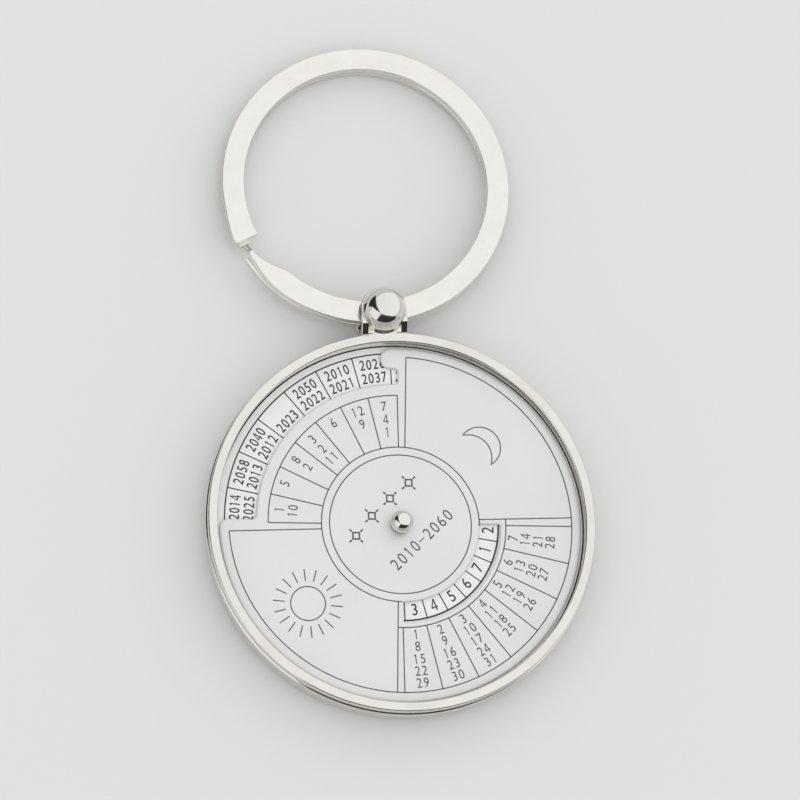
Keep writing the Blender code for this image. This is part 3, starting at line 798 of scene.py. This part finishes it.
def make_disc_print():
    """Tables of months and dates, the sun, the crescent and the middle figures."""
    ink = Print(DISC_TOP)
    ink.arc((0.0, 0.0), HUB_LINE, 0.0, 360.0)
    ink.arc((0.0, 0.0), TABLE_LINE, 0.0, 270.0)
    # The sun, date and crescent quarters share one outer arc.
    moon_left = [on_circle(x=MOON_LEFT_X, radius=RIM_LINE), MOON_LEFT_END]
    moon_foot = [on_circle(y=MOON_FOOT_Y, radius=RIM_LINE), MOON_FOOT_END]
    sun_top = [on_circle(y=SUN_TOP_Y, radius=RIM_LINE, sign=-1), SUN_TOP_END]
    sun_right = [on_circle(x=SUN_RIGHT_X, radius=RIM_LINE, sign=-1), SUN_RIGHT_END]
    ink.arc((0.0, 0.0), RIM_LINE, degrees(atan2(*reversed(sun_top[0]))) % 360,
            360 + degrees(atan2(*reversed(moon_left[0]))))
    for line in (moon_left, moon_foot, sun_top, sun_right):
        ink.line(*line)
    # Months, clockwise from nine o'clock
    ink.arc((0.0, 0.0), MONTH_LINE, 90.0, 180.0)
    for i in range(len(MONTH_COLUMNS) + 1):
        ink.spoke(MONTH_START - COLUMN * i, TABLE_LINE, MONTH_LINE)
    for i, column in enumerate(MONTH_COLUMNS):
        angle = MONTH_START - COLUMN * (i + 0.5)
        for text, radius in zip(column, MONTH_ROWS):
            ink.figures(text, around(angle, radius), angle - 90, MONTH_FIGURES)
    # Dates, anticlockwise from six o'clock
    ink.arc((0.0, 0.0), DATE_LINE, DATE_LINE_START, DATE_LINE_END)
    for i in range(DATE_COLUMNS + 1):
        ink.spoke(DATE_START + COLUMN * i, DATE_LINE, RIM_LINE)
    for i in range(DATE_COLUMNS):
        angle = DATE_START + COLUMN * (i + 0.5)
        for date, radius in zip(range(i + 1, 32, DATE_COLUMNS), DATE_ROWS):
            ink.figures(str(date), around(angle, radius), angle + 90, DATE_FIGURES)
    # Sun
    ink.arc(SUN_CENTRE, SUN_RADIUS, 0.0, 360.0)
    for i in range(SUN_RAYS):
        ink.spoke(360 / SUN_RAYS * i + SUN_RAY_TURN, SUN_RAY_INNER, SUN_RAY_OUTER, SUN_CENTRE)
    ink.path(crescent())
    # The middle: four plain marks and the span of years
    for centre in MARK_CENTRES:
        mark(ink, centre)
    start, end = Vector(SPAN_START), Vector(SPAN_END)
    run = end - start
    centre = (start + end) / 2
    ink.figures("2010 2060", centre, degrees(atan2(run.y, run.x)), SPAN_FIGURES)
    dash = run.normalized() * SPAN_DASH
    ink.line(centre - dash, centre + dash, SPAN_DASH_WIDTH)
    return ink.finish("disc_print", DISC_TURN)


def crescent():
    """Points round a crescent: an outer arc and a flatter inner one between two tips."""
    first, last = Vector(CRESCENT_TIPS[0]), Vector(CRESCENT_TIPS[1])
    points = []
    for start, through, end, way in ((first, CRESCENT_OUTSIDE, last, -1),
                                     (last, CRESCENT_INSIDE, first, 1)):
        centre = circle_centre(start, Vector(through), end)
        begin = atan2(start.y - centre.y, start.x - centre.x)
        stop = atan2(end.y - centre.y, end.x - centre.x)
        sweep = way * ((way * (stop - begin)) % (2 * pi))
        points += arc(centre, (start - centre).length, begin, begin + sweep, 24)[:-1]
    return points


def circle_centre(a, b, c):
    """The centre of the circle through three points."""
    d = 2 * (a.x * (b.y - c.y) + b.x * (c.y - a.y) + c.x * (a.y - b.y))
    ux = (a.length_squared * (b.y - c.y) + b.length_squared * (c.y - a.y)
          + c.length_squared * (a.y - b.y)) / d
    uy = (a.length_squared * (c.x - b.x) + b.length_squared * (a.x - c.x)
          + c.length_squared * (b.x - a.x)) / d
    return Vector((ux, uy))


def mark(ink, centre):
    """A small plain ornament: a square with a short stroke off each corner."""
    corners = [45 + 90 * k for k in range(4)]
    ink.path([Vector(centre) + Vector(around(angle, MARK_SIZE)) for angle in corners],
             MARK_SQUARE_WIDTH)
    for angle in corners:
        ink.spoke(angle, MARK_STROKE_INNER, MARK_STROKE_OUTER, centre, MARK_STROKE_WIDTH)


# ---- Materials -------------------------------------------------------------------

class Nodes:
    """Small helper for wiring a material."""

    def __init__(self, name, colour, roughness, metallic):
        self.material = bpy.data.materials.new(name)
        self.material.use_nodes = True
        self.tree = self.material.node_tree
        self.shader = self.tree.nodes["Principled BSDF"]
        self.shader.inputs["Base Color"].default_value = (*colour, 1.0)
        self.shader.inputs["Roughness"].default_value = roughness
        self.shader.inputs["Metallic"].default_value = metallic
        self.place = self.tree.nodes.new("ShaderNodeTexCoord").outputs["Object"]

    def add(self, kind, inputs=(), **settings):
        """Adds a node; an input is a value or another node's socket."""
        node = self.tree.nodes.new(kind)
        for key, value in settings.items():
            setattr(node, key, value)
        for key, value in dict(inputs).items():
            if isinstance(value, bpy.types.NodeSocket):
                self.tree.links.new(value, node.inputs[key])
            else:
                node.inputs[key].default_value = value
        return node

    def noise(self, size, detail=3.0, stretch=None, roughness=0.5):
        """Noise whose features are about size metres across."""
        source = self.place
        if stretch:
            source = self.add("ShaderNodeMapping",
                              {"Vector": source, "Scale": stretch}).outputs[0]
        return self.add("ShaderNodeTexNoise",
                        {"Vector": source, "Scale": 1 / size,
                         "Detail": detail, "Roughness": roughness}).outputs[0]

    def span(self, value, low, high):
        """Spreads a noise's usual range over low to high."""
        return self.add("ShaderNodeMapRange",
                        {"Value": value, "From Min": 0.3, "From Max": 0.7,
                         "To Min": low, "To Max": high}).outputs[0]

    def tint(self, share, first, second):
        """A colour between two, by a share from 0 to 1."""
        node = self.add("ShaderNodeMix", data_type="RGBA")
        self.tree.links.new(share, node.inputs["Factor"])
        node.inputs[6].default_value = (*first, 1.0)
        node.inputs[7].default_value = (*second, 1.0)
        return node.outputs[2]

    def feed(self, key, socket):
        """Links a socket to one of the shader's inputs."""
        self.tree.links.new(socket, self.shader.inputs[key])

    def mottle(self, size, detail, first, second):
        """A base colour that drifts between two colours, in patches of a size."""
        share = self.span(self.noise(size, detail), 0.0, 1.0)
        self.feed("Base Color", self.tint(share, first, second))

    def bump(self, height, strength, distance):
        """Roughens the surface by a height from 0 to 1 times a distance."""
        node = self.add("ShaderNodeBump", {"Height": height, "Strength": strength,
                                           "Distance": distance})
        self.feed("Normal", node.outputs[0])


def nickel_material():
    n = Nodes("polished_nickel", (0.80, 0.785, 0.75), 0.06, 1.0)
    n.mottle(3.0 * MM, 4.0, (0.80, 0.785, 0.75), (0.74, 0.72, 0.68))
    n.feed("Roughness", n.span(n.noise(0.8 * MM, 5.0, roughness=0.65), 0.05, 0.12))
    n.bump(n.noise(1.1 * MM, 2.0), 0.10, 0.02 * MM)
    return n.material


def ring_material():
    n = Nodes("satin_nickel_wire", (0.83, 0.815, 0.775), 0.24, 1.0)
    n.mottle(2.0 * MM, 4.0, (0.84, 0.825, 0.785), (0.81, 0.79, 0.745))
    n.feed("Roughness", n.span(n.noise(0.5 * MM, 5.0, roughness=0.7), 0.14, 0.26))
    n.bump(n.noise(0.22 * MM, 3.0), 0.12, 0.01 * MM)
    return n.material


def plate_material():
    n = Nodes("printed_plate", (0.775, 0.78, 0.772), 0.42, 0.35)
    n.mottle(9.0 * MM, 2.0, (0.785, 0.79, 0.78), (0.76, 0.765, 0.757))
    grain = n.noise(0.12 * MM, 4.0, stretch=(1.0, 0.08, 1.0))
    n.feed("Roughness", n.span(grain, 0.36, 0.48))
    n.bump(grain, 0.12, 0.01 * MM)
    return n.material


def dial_material():
    n = Nodes("white_dial", (0.91, 0.91, 0.905), 0.5, 0.0)
    n.mottle(4.0 * MM, 3.0, (0.92, 0.92, 0.915), (0.87, 0.87, 0.86))
    n.feed("Roughness", n.span(n.noise(0.2 * MM, 3.0), 0.42, 0.58))
    n.bump(n.noise(0.1 * MM, 2.0), 0.1, 0.01 * MM)
    return n.material


def ink_material(name, dark, light):
    n = Nodes(name, dark, 0.55, 0.0)
    n.mottle(0.35 * MM, 4.0, dark, light)
    n.feed("Roughness", n.span(n.noise(0.1 * MM, 2.0), 0.45, 0.65))
    return n.material


def spring_material():
    n = Nodes("spring_steel", (0.55, 0.55, 0.56), 0.3, 1.0)
    n.mottle(0.8 * MM, 3.0, (0.57, 0.57, 0.58), (0.46, 0.45, 0.45))
    n.feed("Roughness", n.span(n.noise(0.2 * MM, 4.0, stretch=(1.0, 0.1, 1.0)), 0.24, 0.4))
    return n.material


def tape_material():
    n = Nodes("white_tape", (0.86, 0.85, 0.8), 0.8, 0.0)
    n.mottle(1.5 * MM, 5.0, (0.88, 0.87, 0.83), (0.8, 0.78, 0.72))
    n.bump(n.noise(0.3 * MM, 4.0), 0.3, 0.02 * MM)
    return n.material


def dress(piece, material):
    """Gives a piece one material."""
    piece.data.materials.clear()
    piece.data.materials.append(material)


# ---- Stage, lights and camera ----------------------------------------------------

# The photograph's view: its lean and the direction it leans to, its spin about Z, the
# size of a pixel on the disc's face, and the face's middle from the picture's middle.
VIEW_TILT = 17.5
VIEW_SIDE = 61.0
VIEW_SPIN = 4.03
PIXEL = 0.1029 * MM
FOCAL_PIXELS = 14000.0
OFFSET_PIXELS = (0.53, -124.25)
PHOTO_PIXELS = 800
FLOOR_HALF_SIZE = 4.0
WORLD_STRENGTH = 0.66
CARD_SHADE = 0.03
STAGE_MIDDLE = Vector((0.0, 0.016, 0.002))
LAMP_DISTANCE = 0.9
CARD_DISTANCE = 0.6


def camera_turn():
    """Rows are the camera's right, up and back directions."""
    lean_axis = (-sin(radians(VIEW_SIDE)), cos(radians(VIEW_SIDE)), 0.0)
    lean = Matrix.Rotation(radians(VIEW_TILT), 3, lean_axis)
    return lean @ Matrix.Rotation(radians(VIEW_SPIN), 3, "Z")


def make_camera(turn):
    """A camera at the photograph's view."""
    data = bpy.data.cameras.new("camera")
    data.sensor_width = 36.0
    data.lens = FOCAL_PIXELS / PHOTO_PIXELS * data.sensor_width
    data.clip_start = 0.1
    data.clip_end = 20.0
    camera = bpy.data.objects.new("camera", data)
    bpy.context.scene.collection.objects.link(camera)
    offset = Vector((-OFFSET_PIXELS[0], -OFFSET_PIXELS[1], FOCAL_PIXELS)) * PIXEL
    place = turn.transposed() @ offset + Vector((0.0, 0.0, DISC_TOP))
    camera.matrix_world = Matrix.Translation(place) @ turn.transposed().to_4x4()
    bpy.context.scene.camera = camera


def make_floor():
    """The plain pale floor under the case."""
    bm = bmesh.new()
    bm.faces.new([bm.verts.new((x * FLOOR_HALF_SIZE, y * FLOOR_HALF_SIZE, 0.0))
                  for x, y in ((-1, -1), (1, -1), (1, 1), (-1, 1))])
    floor = add_object("floor", bm)
    n = Nodes("pale_floor", (0.8, 0.8, 0.8), 0.9, 0.0)
    n.mottle(0.4, 2.0, (0.80, 0.80, 0.80), (0.785, 0.785, 0.785))
    dress(floor, n.material)


def make_world():
    """Plain soft light from all round."""
    world = bpy.data.worlds.new("studio")
    bpy.context.scene.world = world
    world.use_nodes = True
    background = world.node_tree.nodes["Background"]
    background.inputs["Color"].default_value = (1.0, 1.0, 1.0, 1.0)
    background.inputs["Strength"].default_value = WORLD_STRENGTH


def make_lamp(name, turn, towards, size, roll, glow):
    """A square softbox in a direction given by the photograph's right, up and back."""
    data = bpy.data.lights.new(name, "AREA")
    data.shape = "SQUARE"
    data.size = size
    data.energy = glow * pi * size ** 2
    lamp = bpy.data.objects.new(name, data)
    bpy.context.scene.collection.objects.link(lamp)
    back = Vector(towards).normalized()
    up = (Vector((0.0, 1.0, 0.0)) - back * back.y).normalized()
    axes = Matrix((up.cross(back), up, back)) @ turn
    lamp.matrix_world = (Matrix.Translation(STAGE_MIDDLE + axes[2] * LAMP_DISTANCE)
                         @ axes.transposed().to_4x4() @ Matrix.Rotation(radians(roll), 4, "Z"))
    lamp.visible_camera = False


def make_card(name, turn, corners):
    """A dark studio card that only the polished metal sees.

    Its corners are directions by the photograph's right, up and back.
    """
    bm = bmesh.new()
    bm.faces.new([bm.verts.new(STAGE_MIDDLE + turn.transposed() @ Vector(corner).normalized()
                               * CARD_DISTANCE) for corner in corners])
    bmesh.ops.triangulate(bm, faces=bm.faces[:])
    card = add_object(name, bm)
    n = Nodes(name, (CARD_SHADE,) * 3, 0.9, 0.0)
    n.mottle(0.1, 2.0, (CARD_SHADE,) * 3, (CARD_SHADE * 0.9,) * 3)
    dress(card, n.material)
    for key in ("visible_camera", "visible_diffuse", "visible_shadow"):
        setattr(card, key, False)


# ---- Build -----------------------------------------------------------------------

nickel = nickel_material()
case = make_case()
dress(case, nickel)
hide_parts("case")
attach(case, "body")

rivet = make_rivet()
dress(rivet, nickel)
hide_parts("centre_rivet")
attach(rivet, "body")

disc = make_disc()
dress(disc, plate_material())
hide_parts("window_disc")
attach(disc, "disc")

ring = make_ring()
dress(ring, ring_material())
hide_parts("split_ring")
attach(ring, "ring")

dial_print = make_dial_print()
dress(dial_print, ink_material("dial_ink", (0.03, 0.03, 0.034), (0.06, 0.06, 0.065)))
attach(dial_print, "body")

disc_print = make_disc_print()
dress(disc_print, ink_material("disc_ink", (0.09, 0.09, 0.095), (0.14, 0.14, 0.145)))
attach(disc_print, "disc")

dress(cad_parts["year_dial"], dial_material())
dress(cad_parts["wave_washer"], spring_material())
dress(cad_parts["dial_adhesive"], tape_material())

turn = camera_turn()
make_camera(turn)
make_floor()
make_world()
make_lamp("key_lamp", turn, towards=(0.45, 0.45, 0.77), size=3.0, roll=0.0, glow=0.37)
make_lamp("fill_lamp", turn, towards=(-0.733, -0.387, 0.56), size=0.8, roll=45.0, glow=0.37)
make_card("dark_card_left", turn, corners=(
    (-0.27, -0.33, 0.9), (-0.58, 0.2, 0.78), (-0.57, 0.72, 0.4), (-0.5, 0.86, 0.05),
    (-0.9, 0.43, 0.05), (-0.99, 0.15, 0.1), (-0.86, 0.17, 0.48)))
make_card("dark_card_foot", turn, corners=(
    (-0.2, -0.44, 0.88), (0.36, -0.57, 0.74), (0.86, -0.48, 0.2), (0.75, -0.65, 0.1),
    (0.3, -0.94, 0.2), (-0.3, -0.93, 0.25), (-0.54, -0.8, 0.3)))

bpy.context.scene.view_settings.view_transform = "Standard"
